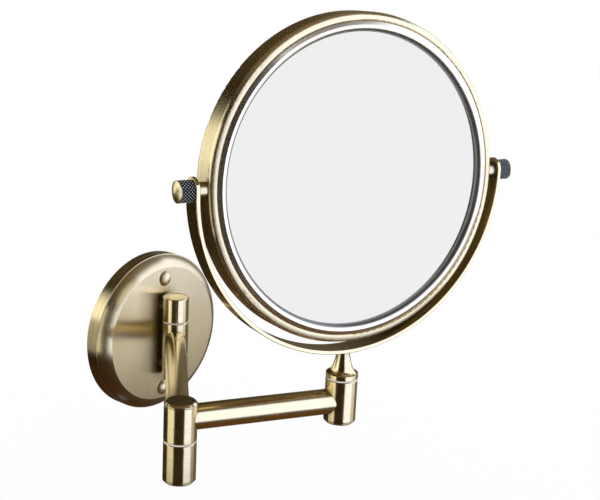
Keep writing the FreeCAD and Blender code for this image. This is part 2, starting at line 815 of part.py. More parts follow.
def add_mirror_head():
    """Frame, glasses, pivots and the two thumbscrews."""
    front = (X, 90)
    back = (X, -90)
    nodes["frame_band"] = head_place(placed(frame_band(), at(0, 0, 0), front))
    nodes["front_bezel"] = head_place(placed(bezel(front_ridge_depth), at(0, 0, 0), front))
    nodes["rear_bezel"] = head_place(placed(bezel(back_ridge_depth), at(0, 0, 0), back))
    nodes["front_mirror"] = head_place(placed(flat_glass(), at(0, 0, 0), front))
    nodes["rear_mirror"] = head_place(placed(hollow_glass(), at(0, 0, 0), back))
    nodes["backing_ring"] = head_place(placed(backing_ring(), at(0, 0, 0), front))
    shank_hole_r = thumbscrew_shank_dia / 2 + seat_gap
    ring = washer(friction_washer_dia / 2, shank_hole_r, boss_end, friction_washer_thickness)
    grip = knob_grip()
    for side, turn in (("left", -90), ("right", 90)):
        knob_seat = at(math.copysign(yoke_outer_radius, turn), 0, 0)
        nodes[side + "_boss"] = head_place(placed(pivot_boss(), at(0, 0, 0), (Y, turn)))
        nodes[side + "_friction_washer"] = head_place(placed(ring, at(0, 0, 0), (Y, turn)))
        nodes[side + "_thumbscrew"] = head_place(placed(thumbscrew(), knob_seat, (Y, turn)))
        nodes[side + "_knob_grip"] = head_place(placed(grip, knob_seat, (Y, turn)))


add_bracket()
add_inner_arm()
add_outer_arm()
add_yoke()
add_mirror_head()
os.makedirs("parts", exist_ok=True)
for name, shape in nodes.items():
    shape.exportStep("parts/" + name + ".step")
    print(name, len(shape.Solids), shape.isValid(), round(shape.Volume, 2))
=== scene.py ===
import json
import math
from collections import namedtuple

import bpy
from mathutils import Matrix, Vector


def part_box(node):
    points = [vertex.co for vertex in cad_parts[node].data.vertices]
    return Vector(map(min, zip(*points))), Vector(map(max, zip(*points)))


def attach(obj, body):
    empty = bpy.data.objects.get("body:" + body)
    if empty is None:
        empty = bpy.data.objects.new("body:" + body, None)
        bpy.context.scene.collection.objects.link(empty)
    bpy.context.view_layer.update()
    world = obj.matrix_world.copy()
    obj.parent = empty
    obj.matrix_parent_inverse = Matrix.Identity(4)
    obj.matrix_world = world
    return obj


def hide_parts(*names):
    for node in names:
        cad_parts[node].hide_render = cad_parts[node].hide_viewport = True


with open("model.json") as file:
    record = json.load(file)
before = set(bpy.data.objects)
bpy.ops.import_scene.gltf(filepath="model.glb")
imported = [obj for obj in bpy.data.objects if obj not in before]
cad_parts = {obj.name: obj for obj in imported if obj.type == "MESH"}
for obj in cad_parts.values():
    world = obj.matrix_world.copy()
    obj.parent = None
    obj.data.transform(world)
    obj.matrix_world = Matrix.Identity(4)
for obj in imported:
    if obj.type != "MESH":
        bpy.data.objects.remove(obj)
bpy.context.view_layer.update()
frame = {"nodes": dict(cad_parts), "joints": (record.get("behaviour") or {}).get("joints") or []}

bl_info = {
    "name": "Swing-arm makeup mirror",
    "version": (1, 0, 0),
    "blender": (4, 5, 0),
    "location": "View3D > Sidebar > Makeup mirror",
    "description": "Dresses a wall-mounted makeup mirror in antique brass and sets it in a studio",
    "category": "Object",
}

# Places that the finishes turn about, from the frame's joints
JOINTS = {joint["name"]: joint for joint in frame["joints"]}
HINGE = Vector(JOINTS["wall_swing"]["pos_m"])
ELBOW = Vector(JOINTS["elbow_swing"]["pos_m"])
SWIVEL = Vector(JOINTS["mirror_swivel"]["pos_m"])
PIVOT = Vector(JOINTS["mirror_tilt"]["pos_m"])
PIVOT_LINE = Vector(JOINTS["mirror_tilt"]["axis"])
UP = Vector((0, 0, 1))
INTO_WALL = Vector((0, 1, 0))
INNER_ARM_LINE = (ELBOW - HINGE).normalized()
OUTER_ARM_LINE = (SWIVEL - ELBOW).to_2d().to_3d().normalized()
MM = 0.001
PLATE_CENTRE = Vector((0, 0, 0))

# How far brushing stretches the gloss across its lines
DOME_STRETCH = 0.2
BARREL_STRETCH = 0.5
TUBE_STRETCH = 0.4
YOKE_STRETCH = 0.3
KNOB_STRETCH = 0.3
BEZEL_STRETCH = 0.7
BAND_STRETCH = 0.9
PLATE_STRETCH = 0.9

# Depth of the brush lines
TURNED_LINE_DEPTH = 0.004 * MM
BEZEL_LINE_DEPTH = 0.001 * MM
TUBE_LINE_DEPTH = 0.01 * MM
PLATE_LINE_DEPTH = 0.02 * MM

# Aged brass: patina and painted shade in corners, patina in drifting patches and in brush lines, and the
# gloss of those lines
CORNER_SHADE_SHARE = 0.9
BAND_CORNER_SHADE_SHARE = 0.35
BEZEL_CORNER_SHADE_SHARE = 0.25
CORNER_SHADE_SAMPLES = 16
EDGE_SAMPLES = 12
PATCH_SCALE = 22
PATCH_SHARES = (-0.08, 0.20)
LINE_SHARES = (-0.06, 0.10)
GLOSS_SHARES = (0.7, 1.3)
LINE_STRENGTH = 0.35
LINE_DETAIL = 4
CLOUD_DETAIL = 3

# Bezels: how far polishing pales them, and the fade and metal of the grey painted shade on the slope
POLISH_SHARE = 0.4
SLOPE_SHADE_FADE = 0.5 * MM
SLOPE_SHADE_METAL_SHARES = (1.0, 0.8)

# Painted shade on the plate, which darkens downwards on its face and on its rim
FACE_SHADE_HEIGHTS = (0, -45 * MM)
FACE_SHADE_SHARES = (0.0, 0.18)
RIM_SHADE_HEIGHTS = (-2 * MM, -12 * MM)
RIM_SHADE_SHARES = (0.08, 0.65)

# Knurl: wear and painted glints as shares of a point's depth, how unevenly it is rubbed, and the dark metal
# and the rubbed points that carry the painted glints
WEAR_GLINT_SHARES = (0.7, 0.4)
RUB_SHARES = (0.4, 1.2)
KNURL_ROUGHNESS = (0.5, 0.35)
KNURL_METAL_SHARES = (1.0, 0.1)

# Plain materials: scale of the pattern, range of roughness, and strength and depth of the surface
WIPE_SCALE = 30
WIPE_SHARES = (0.0, 0.006)
STEEL_SCALE = 160
STEEL_ROUGHNESS = (0.22, 0.42)
STEEL_SAMPLES = 4
NYLON_SCALE = 300
NYLON_ROUGHNESS = (0.35, 0.5)
FIBRE_SCALE = 2500
FIBRE_ROUGHNESS = (0.6, 0.85)
FIBRE_RELIEF = (0.5, 0.05 * MM)
FOAM_SCALE = 900
FOAM_ROUGHNESS = (0.95, 0.8)
FOAM_RELIEF = (0.6, 0.3 * MM)

# Modelled pieces: steps of arcs and rings, welding, smoothing, and shares of the wall screws
CREST_STEPS = 4
ROLL_STEPS = 12
SCREW_STEPS = 32
THREAD_STEPS = 24
WELD = 0.001 * MM
SMOOTH_ANGLE = math.radians(30)
HEAD_EDGE_SHARE = 0.5
CROWN_RADIUS_SHARE = 0.6
CROWN_HEIGHT_SHARE = 0.875
THREAD_ROOT_SHARE = 0.9
THREAD_FLANK_SHARE = 0.3

# Tent: its steps, the way to its right, and where its cloths fade along that way and the height
TENT_SEGMENTS = 180
TENT_RINGS = 90
RIGHT_WAY = (0.97, -0.26, 0)
RIGHT_FADE_SHARES = (0.35, 0.75)
LOW_FADE_SHARES = (-0.45, -0.80)
TOP_FADE_SHARES = (0.60, 0.90)
SENSOR_WIDTH = 36.0

# Light panels in the tent: bearings and heights in degrees, then the light of each
LightPanel = namedtuple("LightPanel", "bearings heights light")
COOL_LIGHT = (1.38, 1.56, 2.20)
DIM_LIGHT = (0.64, 0.61, 0.52)
SIDE_LIGHT = (1.45, 1.48, 1.45)
LOW_LIGHT = (1.25, 1.25, 1.15)
BACK_LIGHT = (1.35, 1.38, 1.32)
FLOOR_LIGHT = (0.50, 0.70, 1.10)
LIGHT_PANELS = (
    LightPanel((-20, 30), (-30, 44), COOL_LIGHT),
    LightPanel((30, 58), (-20, 44), COOL_LIGHT),
    LightPanel((30, 60), (-28, -20), DIM_LIGHT),
    LightPanel((58, 92), (-6, 42), COOL_LIGHT),
    LightPanel((58, 80), (-13, -6), COOL_LIGHT),
    LightPanel((-125, -92), (-5, 31), SIDE_LIGHT),
    LightPanel((-152, -125), (6, 36), SIDE_LIGHT),
    LightPanel((-133, -86), (-28, -5), LOW_LIGHT),
    LightPanel((-178, -152), (-9, 21), BACK_LIGHT),
    LightPanel((100, 165), (-90, -79), FLOOR_LIGHT),
)


class FinishSettings(bpy.types.PropertyGroup):
    """Colours and finishes of the mirror's materials."""

    brass: bpy.props.FloatVectorProperty(
        name="Brass", description="Clean metal of every brass piece",
        subtype="COLOR", size=3, min=0, max=1, default=(0.86, 0.71, 0.41))
    # Patina brown, also the colour of the painted shade in corners and lower down on the plate
    patina_and_shade: bpy.props.FloatVectorProperty(
        name="Patina", description="Brown that stays in corners and drifts over the brass",
        subtype="COLOR", size=3, min=0, max=1, default=(0.18, 0.14, 0.07))
    knurl: bpy.props.FloatVectorProperty(
        name="Knurl", description="Blackened metal of the knob grips",
        subtype="COLOR", size=3, min=0, max=1, default=(0.012, 0.013, 0.018))
    # Pale points of the grips: worn metal, and painted glints
    knurl_worn_glint: bpy.props.FloatVectorProperty(
        name="Worn knurl", description="Bare points of the knob grips",
        subtype="COLOR", size=3, min=0, max=1, default=(0.80, 0.83, 0.88))
    silver: bpy.props.FloatVectorProperty(
        name="Silver", description="Coating behind the mirror glass",
        subtype="COLOR", size=3, min=0, max=1, default=(0.862, 0.862, 0.862))
    steel: bpy.props.FloatVectorProperty(
        name="Steel", description="Zinc-plated screws, bolt and washers",
        subtype="COLOR", size=3, min=0, max=1, default=(0.58, 0.58, 0.56))
    nylon: bpy.props.FloatVectorProperty(
        name="Nylon", description="Pale washers in the hinges",
        subtype="COLOR", size=3, min=0, max=1, default=(0.78, 0.76, 0.70))
    fibre: bpy.props.FloatVectorProperty(
        name="Fibre", description="Friction washers at the pivots",
        subtype="COLOR", size=3, min=0, max=1, default=(0.03, 0.026, 0.022))
    foam: bpy.props.FloatVectorProperty(
        name="Foam", description="Ring between the two glasses",
        subtype="COLOR", size=3, min=0, max=1, default=(0.06, 0.06, 0.065))
    polish: bpy.props.FloatVectorProperty(
        name="Polish", description="Paler brass where the bezels are polished",
        subtype="COLOR", size=3, min=0, max=1, default=(0.93, 0.88, 0.76))
    # Grey painted shade on the bezels' slope beside the glass
    slope_shade: bpy.props.FloatVectorProperty(
        name="Slate", description="Greyed metal on the slope of the bezels beside the glass",
        subtype="COLOR", size=3, min=0, max=1, default=(0.21, 0.20, 0.175))
    wipe: bpy.props.FloatVectorProperty(
        name="Wipe", description="Faint wiping marks on the mirror glass",
        subtype="COLOR", size=3, min=0, max=1, default=(0.8, 0.83, 0.82))
    steel_bloom: bpy.props.FloatVectorProperty(
        name="Steel bloom", description="Yellow cast of the zinc",
        subtype="COLOR", size=3, min=0, max=1, default=(0.66, 0.62, 0.50))
    nylon_cloud: bpy.props.FloatVectorProperty(
        name="Nylon cloud", description="Duller clouds in the pale washers",
        subtype="COLOR", size=3, min=0, max=1, default=(0.72, 0.69, 0.62))
    fibre_strand: bpy.props.FloatVectorProperty(
        name="Fibre strand", description="Paler strands of the friction washers",
        subtype="COLOR", size=3, min=0, max=1, default=(0.09, 0.08, 0.07))
    foam_wall: bpy.props.FloatVectorProperty(
        name="Foam wall", description="Walls between the foam's pores",
        subtype="COLOR", size=3, min=0, max=1, default=(0.13, 0.13, 0.135))
    barrel_roughness: bpy.props.FloatProperty(
        name="Barrel roughness", description="Gloss of barrels and arms", min=0, max=1, default=0.20)
    band_roughness: bpy.props.FloatProperty(
        name="Band roughness", description="Gloss of the frame band", min=0, max=1, default=0.25)
    bezel_roughness: bpy.props.FloatProperty(
        name="Bezel roughness", description="Gloss of the two bezels", min=0, max=1, default=0.22)
    yoke_roughness: bpy.props.FloatProperty(
        name="Yoke roughness", description="Gloss of the yoke", min=0, max=1, default=0.11)
    dome_roughness: bpy.props.FloatProperty(
        name="Dome roughness", description="Gloss of the screw caps and spacers", min=0, max=1, default=0.4)
    knob_roughness: bpy.props.FloatProperty(
        name="Knob roughness", description="Gloss of the bosses and thumbscrews", min=0, max=1, default=0.3)
    plate_roughness: bpy.props.FloatProperty(
        name="Plate roughness", description="Gloss of the plate's flat face", min=0, max=1, default=0.32)
    rim_roughness: bpy.props.FloatProperty(
        name="Rim roughness", description="Gloss of the plate's shoulder and rim", min=0, max=1, default=0.28)
    line_width: bpy.props.FloatProperty(
        name="Line width", description="Width of one brush line",
        unit="LENGTH", min=0, default=0.9 * MM)
    frame_line_width: bpy.props.FloatProperty(
        name="Frame line width", description="Width of one brush line on the band and bezels",
        unit="LENGTH", min=0, default=4.5 * MM)
    tube_line_run: bpy.props.FloatProperty(
        name="Tube line run", description="Length of a line along the arms",
        unit="LENGTH", min=0, default=80 * MM)
    plate_line_run: bpy.props.FloatProperty(
        name="Plate line run", description="Length of an upright line on the plate",
        unit="LENGTH", min=0, default=45 * MM)
    # Reach of the patina and of the painted shade out of corners
    corner_shade_reach: bpy.props.FloatProperty(
        name="Corner reach", description="How far out of a corner the patina spreads",
        unit="LENGTH", min=0, default=8 * MM)
    edge_round: bpy.props.FloatProperty(
        name="Edge round", description="Soft radius that polishing leaves on every edge",
        unit="LENGTH", min=0, default=0.25 * MM)
    mirror_tilt: bpy.props.FloatProperty(
        name="Mirror tilt", description="How far the mirror leans back in its yoke",
        subtype="ANGLE", default=math.radians(2.5))
    plate_flat_radius: bpy.props.FloatProperty(
        name="Plate flat radius", description="Edge of the plate's flat, upright-brushed face",
        unit="LENGTH", default=53.5 * MM)
    bezel_slope_radius: bpy.props.FloatProperty(
        name="Bezel slope radius", description="Where the bezel's slope to the glass turns steep",
        unit="LENGTH", default=90.2 * MM)


class BezelSettings(bpy.types.PropertyGroup):
    """Outline of the two bezels; heights go up from the frame's ridge."""

    front_ridge: bpy.props.FloatProperty(
        name="Front ridge", description="Front ridge of the frame, from the pivot line",
        unit="LENGTH", default=7.2 * MM)
    back_ridge: bpy.props.FloatProperty(
        name="Back ridge", description="Back ridge of the frame, from the pivot line",
        unit="LENGTH", default=11.3 * MM)
    opening_radius: bpy.props.FloatProperty(
        name="Opening radius", description="Edge beside the glass", unit="LENGTH", default=88.45 * MM)
    crest_radius: bpy.props.FloatProperty(
        name="Crest radius", description="Highest line of the roll", unit="LENGTH", default=92.2 * MM)
    outer_radius: bpy.props.FloatProperty(
        name="Outer radius", description="Edge in the frame's groove", unit="LENGTH", default=94.6 * MM)
    pocket_radius: bpy.props.FloatProperty(
        name="Pocket radius", description="Wall round the glass", unit="LENGTH", default=91.45 * MM)
    crest: bpy.props.FloatProperty(
        name="Crest", description="Height of the roll over the ridge", unit="LENGTH", default=1.1 * MM)
    crest_round: bpy.props.FloatProperty(
        name="Crest round", description="Radius between the crest and the outer slope",
        unit="LENGTH", default=0.5 * MM)
    slope_drop: bpy.props.FloatProperty(
        name="Slope drop", description="Fall from the crest to the edge beside the glass",
        unit="LENGTH", default=2.5 * MM)
    outer_slope: bpy.props.FloatProperty(
        name="Outer slope", description="Steepness of the slope into the groove",
        subtype="ANGLE", default=math.radians(28))
    glass_drop: bpy.props.FloatProperty(
        name="Glass drop", description="From the ridge down to the glass",
        unit="LENGTH", default=2.7 * MM)
    seat_drop: bpy.props.FloatProperty(
        name="Seat drop", description="From the ridge down to the bezel's seat",
        unit="LENGTH", default=5.4 * MM)
    steps: bpy.props.IntProperty(
        name="Steps", description="Flats round each bezel", default=240)


class GripSettings(bpy.types.PropertyGroup):
    """Sizes of the two knurled grips."""

    crest_radius: bpy.props.FloatProperty(
        name="Crest radius", description="Radius over the points of the knurl",
        unit="LENGTH", default=6.7 * MM)
    depth: bpy.props.FloatProperty(
        name="Depth", description="Height of the knurl's points", unit="LENGTH", default=0.5 * MM)
    bore_radius: bpy.props.FloatProperty(
        name="Bore radius", description="Hole for the thumbscrew's core",
        unit="LENGTH", default=4.05 * MM)
    length: bpy.props.FloatProperty(
        name="Length", description="Length of the grip", unit="LENGTH", default=8.2 * MM)
    points: bpy.props.IntProperty(
        name="Points", description="Points in one ring of the knurl", default=20)
    rows: bpy.props.IntProperty(
        name="Rows", description="Rings of points along the grip", default=4)


class ScrewSettings(bpy.types.PropertyGroup):
    """Sizes of the wall screws, along the screw from its tip."""

    taper: bpy.props.FloatProperty(
        name="Taper", description="Length of the pointed tip", unit="LENGTH", default=3.0 * MM)
    thread_end: bpy.props.FloatProperty(
        name="Thread end", description="From the tip to the plain neck",
        unit="LENGTH", default=22.0 * MM)
    tip_radius: bpy.props.FloatProperty(
        name="Tip radius", description="Blunt end of the tip", unit="LENGTH", default=0.4 * MM)
    core_radius: bpy.props.FloatProperty(
        name="Core radius", description="Radius between the threads", unit="LENGTH", default=1.35 * MM)
    thread_radius: bpy.props.FloatProperty(
        name="Thread radius", description="Radius over the thread", unit="LENGTH", default=2.0 * MM)
    neck_radius: bpy.props.FloatProperty(
        name="Neck radius", description="Radius of the plain neck", unit="LENGTH", default=2.15 * MM)
    head_height: bpy.props.FloatProperty(
        name="Head height", description="Height of the head", unit="LENGTH", default=1.6 * MM)
    pitch: bpy.props.FloatProperty(
        name="Pitch", description="Rise of one turn of the thread", unit="LENGTH", default=1.8 * MM)


class StudioSettings(bpy.types.PropertyGroup):
    """Camera, floor and the dark tent whose panels light the metal; angles are in degrees."""

    azimuth: bpy.props.FloatProperty(
        name="Azimuth", description="Camera's bearing, from straight in front of the wall", default=-50.27)
    elevation: bpy.props.FloatProperty(
        name="Elevation", description="Camera's height above level", default=14.714)
    roll: bpy.props.FloatProperty(
        name="Roll", description="Camera's lean to the left", default=2.814)
    distance: bpy.props.FloatProperty(
        name="Distance", description="From the camera to its aim", unit="LENGTH", default=0.9847)
    aim: bpy.props.FloatVectorProperty(
        name="Aim", description="Point in the middle of the picture", subtype="TRANSLATION", size=3,
        default=(0.0886, -0.0797, 0.0655))
    lens: bpy.props.FloatProperty(
        name="Lens", description="Focal length in millimetres, on a sensor 36 mm wide", default=74.19)
    floor_height: bpy.props.FloatProperty(
        name="Floor height", description="Level of the pale floor", unit="LENGTH", default=-0.30)
    floor_size: bpy.props.FloatProperty(
        name="Floor size", description="Side of the pale floor", unit="LENGTH", default=12.0)
    floor_colour: bpy.props.FloatVectorProperty(
        name="Floor colour", description="Paint of the floor", subtype="COLOR", size=3, min=0, max=1,
        default=(0.9, 0.9, 0.9))
    tent_radius: bpy.props.FloatProperty(
        name="Tent radius", description="Radius of the dark tent", unit="LENGTH", default=1.15)
    tent_centre: bpy.props.FloatVectorProperty(
        name="Tent centre", description="Middle of the dark tent", subtype="TRANSLATION", size=3,
        default=(-0.08, -0.15, 0.08))
    side_cloth: bpy.props.FloatVectorProperty(
        name="Side cloth", description="Dark cloth round the sides of the tent", subtype="COLOR", size=3,
        min=0, max=1, default=(0.030, 0.021, 0.010))
    right_cloth: bpy.props.FloatVectorProperty(
        name="Right cloth", description="Paler cloth on the right of the tent", subtype="COLOR", size=3,
        min=0, max=1, default=(0.15, 0.13, 0.09))
    low_cloth: bpy.props.FloatVectorProperty(
        name="Low cloth", description="Brown cloth under the object", subtype="COLOR", size=3,
        min=0, max=1, default=(0.11, 0.056, 0.018))
    top_cloth: bpy.props.FloatVectorProperty(
        name="Top cloth", description="Cloth over the object", subtype="COLOR", size=3,
        min=0, max=1, default=(0.16, 0.12, 0.06))


def empty_material(name):
    """A new node material: itself, its tree and its principled shader."""
    material = bpy.data.materials.new(name)
    material.use_nodes = True
    tree = material.node_tree
    return material, tree, tree.nodes["Principled BSDF"]


def put(tree, kind, inputs, **settings):
    """One node with its settings; each input is linked if it is a socket and set if it is a value."""
    node = tree.nodes.new(kind)
    for key, value in settings.items():
        setattr(node, key, value)
    for key, value in inputs.items():
        if isinstance(value, bpy.types.NodeSocket):
            tree.links.new(value, node.inputs[key])
        else:
            node.inputs[key].default_value = value
    return node


def number(tree, operation, *values):
    """Result of one sum on numbers."""
    return put(tree, "ShaderNodeMath", dict(enumerate(values)), operation=operation).outputs[0]


def vector(tree, operation, *values):
    """Result of one sum on vectors."""
    return put(tree, "ShaderNodeVectorMath", dict(enumerate(values)), operation=operation).outputs["Vector"]


def spread(tree, value, low, high):
    """A pattern from 0 to 1 moved to run from low to high."""
    return put(tree, "ShaderNodeMapRange", {"Value": value, "To Min": low, "To Max": high}).outputs["Result"]


def eased(tree, value, start, end):
    """How far a value has come from its start to its end, from 0 to 1."""
    return put(tree, "ShaderNodeMapRange", {"Value": value, "From Min": start, "From Max": end},
               interpolation_type="SMOOTHSTEP").outputs["Result"]


def blend(tree, share, first, second):
    """Colour between two others."""
    mix = put(tree, "ShaderNodeMix", {0: share}, data_type="RGBA")
    for socket, colour in ((mix.inputs[6], first), (mix.inputs[7], second)):
        if isinstance(colour, bpy.types.NodeSocket):
            tree.links.new(colour, socket)
        else:
            socket.default_value = (*colour, 1)
    return mix.outputs[2]


def noise(tree, point, scale, detail=2.0):
    """Soft noise from 0 to 1."""
    return put(tree, "ShaderNodeTexNoise", {"Vector": point, "Scale": scale, "Detail": detail}).outputs["Fac"]


def object_point(tree):
    """Place on the piece, in the frame."""
    return put(tree, "ShaderNodeTexCoord", {}).outputs["Object"]


def upright_point(tree, centre, axis):
    """Place on the piece with the centre at the origin and the axis along Z."""
    moved = vector(tree, "SUBTRACT", object_point(tree), centre)
    turn = axis.rotation_difference(UP).to_euler()
    return put(tree, "ShaderNodeMapping", {"Vector": moved, "Rotation": turn}).outputs["Vector"]


def ring_lines(tree, centre, axis, width):
    """Lines that run in rings about an axis, as turning and polishing leave them; also the radius."""
    part = put(tree, "ShaderNodeSeparateXYZ", {0: upright_point(tree, centre, axis)}).outputs
    flat = put(tree, "ShaderNodeCombineXYZ", {"X": part[0], "Y": part[1]}).outputs[0]
    radius = put(tree, "ShaderNodeVectorMath", {0: flat}, operation="LENGTH").outputs["Value"]
    bearing = put(tree, "ShaderNodeSeparateXYZ", {0: vector(tree, "NORMALIZE", flat)}).outputs
    across = number(tree, "DIVIDE", radius, width)
    along = number(tree, "DIVIDE", part[2], width)
    place = put(tree, "ShaderNodeCombineXYZ", {"X": across, "Y": along, "Z": bearing[0]}).outputs[0]
    lines = put(tree, "ShaderNodeTexNoise",
                {"Vector": place, "W": bearing[1], "Scale": 1, "Detail": LINE_DETAIL},
                noise_dimensions="4D").outputs["Fac"]
    return lines, radius


def straight_lines(tree, centre, axis, width, run):
    """Lines along an axis, each about as long as the run."""
    scale = Vector((1 / width, 1 / width, 1 / run))
    place = vector(tree, "MULTIPLY", upright_point(tree, centre, axis), scale)
    return noise(tree, place, 1, LINE_DETAIL)


def ring_grooves(tree, centre, axis):
    """Direction of the ring lines at each place."""
    moved = vector(tree, "SUBTRACT", object_point(tree), centre)
    return vector(tree, "CROSS_PRODUCT", axis, moved)


def brush(tree, shader, grooves, strength):
    """Stretches the gloss across the grooves."""
    normal = put(tree, "ShaderNodeTexCoord", {}).outputs["Normal"]
    across = vector(tree, "CROSS_PRODUCT", normal, grooves)
    turned = put(tree, "ShaderNodeVectorTransform", {0: across},
                 vector_type="VECTOR", convert_from="OBJECT", convert_to="WORLD").outputs[0]
    tree.links.new(turned, shader.inputs["Tangent"])
    shader.inputs["Anisotropic"].default_value = strength


def relief(tree, shader, pattern, strength, depth, **under):
    """Raises the surface by a pattern, over another normal if one is given."""
    bump = put(tree, "ShaderNodeBump", {"Strength": strength, "Distance": depth, "Height": pattern, **under})
    tree.links.new(bump.outputs[0], shader.inputs["Normal"])


def mottle(tree, shader, pattern, first, second, roughness):
    """Lets the colour and the gloss follow one pattern."""
    tree.links.new(blend(tree, pattern, first, second), shader.inputs["Base Color"])
    tree.links.new(spread(tree, pattern, *roughness), shader.inputs["Roughness"])


def antique_brass(tree, shader, finish, lines, roughness, line_depth, low_shade=0.0, corners=CORNER_SHADE_SHARE):
    """Lacquered antique brass: patina and painted shade in corners, more painted shade where given, brush
    lines, soft edges.
    """
    # Ambient occlusion darkens corners: patina, and painted shade where parts shade each other
    corner = put(tree, "ShaderNodeAmbientOcclusion", {"Distance": finish.corner_shade_reach},
                 samples=CORNER_SHADE_SAMPLES).outputs["AO"]
    drift = noise(tree, object_point(tree), PATCH_SCALE, CLOUD_DETAIL)
    tarnish_and_shade = number(tree, "MULTIPLY", number(tree, "SUBTRACT", 1.0, corner), corners)
    tarnish_and_shade = number(tree, "ADD", tarnish_and_shade, spread(tree, drift, *PATCH_SHARES))
    tarnish_and_shade = number(tree, "ADD", tarnish_and_shade, low_shade)
    lined = number(tree, "ADD", tarnish_and_shade, spread(tree, lines, *LINE_SHARES))
    colour = blend(tree, put(tree, "ShaderNodeClamp", {0: lined}).outputs[0], finish.brass, finish.patina_and_shade)
    tree.links.new(colour, shader.inputs["Base Color"])
    gloss = number(tree, "MULTIPLY", spread(tree, lines, *GLOSS_SHARES), roughness)
    tree.links.new(gloss, shader.inputs["Roughness"])
    soft = put(tree, "ShaderNodeBevel", {"Radius": finish.edge_round}, samples=EDGE_SAMPLES).outputs[0]
    relief(tree, shader, lines, LINE_STRENGTH, line_depth, Normal=soft)
    shader.inputs["Metallic"].default_value = 1.0


def turned_brass(name, finish, centre, axis, roughness, stretch, width=None, corners=CORNER_SHADE_SHARE):
    """Brass turned or polished in rings about an axis."""
    material, tree, shader = empty_material(name)
    lines, _ = ring_lines(tree, centre, axis, width or finish.line_width)
    antique_brass(tree, shader, finish, lines, roughness, TURNED_LINE_DEPTH, corners=corners)
    brush(tree, shader, ring_grooves(tree, centre, axis), stretch)
    return material


def bezel_brass(finish, facing):
    """Brass of the bezels: paler where it is polished, and grey painted shade on the slope beside the glass.
    """
    material, tree, shader = empty_material("bezel_brass")
    lines, radius = ring_lines(tree, PIVOT, facing, finish.frame_line_width)
    antique_brass(tree, shader, finish, lines, finish.bezel_roughness, BEZEL_LINE_DEPTH,
                  corners=BEZEL_CORNER_SHADE_SHARE)
    brush(tree, shader, ring_grooves(tree, PIVOT, facing), BEZEL_STRETCH)
    warm = blend(tree, POLISH_SHARE, shader.inputs["Base Color"].links[0].from_socket, finish.polish)
    slope = finish.bezel_slope_radius
    # Painted shade: grey, less metallic colour on the steep slope beside the glass
    shaded_slope = eased(tree, radius, slope + SLOPE_SHADE_FADE, slope - SLOPE_SHADE_FADE)
    tree.links.new(blend(tree, shaded_slope, warm, finish.slope_shade), shader.inputs["Base Color"])
    tree.links.new(spread(tree, shaded_slope, *SLOPE_SHADE_METAL_SHARES), shader.inputs["Metallic"])
    return material


def drawn_brass(name, finish, centre, axis):
    """Brass tube with fine lines along it."""
    material, tree, shader = empty_material(name)
    lines = straight_lines(tree, centre, axis, finish.line_width, finish.tube_line_run)
    antique_brass(tree, shader, finish, lines, finish.barrel_roughness, TUBE_LINE_DEPTH)
    brush(tree, shader, put(tree, "ShaderNodeCombineXYZ", dict(enumerate(axis))).outputs[0], TUBE_STRETCH)
    return material


def plate_brass(finish):
    """Brushed brass of the wall plate: upright lines on the flat face, rings on the shoulder and rim."""
    material, tree, shader = empty_material("plate_brass")
    rings, radius = ring_lines(tree, PLATE_CENTRE, INTO_WALL, finish.line_width)
    upright = straight_lines(tree, PLATE_CENTRE, UP, finish.line_width, finish.plate_line_run)
    on_rim = number(tree, "GREATER_THAN", radius, finish.plate_flat_radius)
    height = put(tree, "ShaderNodeSeparateXYZ", {0: object_point(tree)}).outputs["Z"]
    # Painted shade: the plate's face and rim darken downwards
    face_shade = spread(tree, eased(tree, height, *FACE_SHADE_HEIGHTS), *FACE_SHADE_SHARES)
    rim_shade = spread(tree, eased(tree, height, *RIM_SHADE_HEIGHTS), *RIM_SHADE_SHARES)
    lines, low_shade, gloss = [
        put(tree, "ShaderNodeMix", {0: on_rim, 2: on_face, 3: on_edge}).outputs[0]
        for on_face, on_edge in (
            (upright, rings), (face_shade, rim_shade), (finish.plate_roughness, finish.rim_roughness))]
    antique_brass(tree, shader, finish, lines, gloss, PLATE_LINE_DEPTH, low_shade)
    grooves = put(tree, "ShaderNodeMix", {0: on_rim, 4: UP, 5: ring_grooves(tree, PLATE_CENTRE, INTO_WALL)},
                  data_type="VECTOR").outputs[1]
    brush(tree, shader, grooves, PLATE_STRETCH)
    return material


def knurl_metal(finish, grip):
    """Blackened grip whose points are rubbed bright: worn bare, and painted as glints."""
    material, tree, shader = empty_material("knurl_metal")
    lines, radius = ring_lines(tree, PIVOT, PIVOT_LINE, finish.line_width)
    # Pale, less metallic points: wear, and painted glints
    worn_glint = eased(tree, radius, *(grip.crest_radius - share * grip.depth for share in WEAR_GLINT_SHARES))
    rubbed_glint = number(tree, "MULTIPLY", worn_glint, spread(tree, lines, *RUB_SHARES))
    bare_glint = put(tree, "ShaderNodeClamp", {0: rubbed_glint}).outputs[0]
    tree.links.new(blend(tree, bare_glint, finish.knurl, finish.knurl_worn_glint), shader.inputs["Base Color"])
    tree.links.new(spread(tree, rubbed_glint, *KNURL_ROUGHNESS), shader.inputs["Roughness"])
    tree.links.new(spread(tree, rubbed_glint, *KNURL_METAL_SHARES), shader.inputs["Metallic"])
    return material


def silvered_glass(finish):
    """Mirror: perfectly sharp silver with the faintest wiping marks."""
    material, tree, shader = empty_material("silvered_glass")
    wiped = spread(tree, noise(tree, object_point(tree), WIPE_SCALE, CLOUD_DETAIL), *WIPE_SHARES)
    tree.links.new(blend(tree, wiped, finish.silver, finish.wipe), shader.inputs["Base Color"])
    shader.inputs["Roughness"].default_value = 0.0
    shader.inputs["Metallic"].default_value = 1.0
    return material


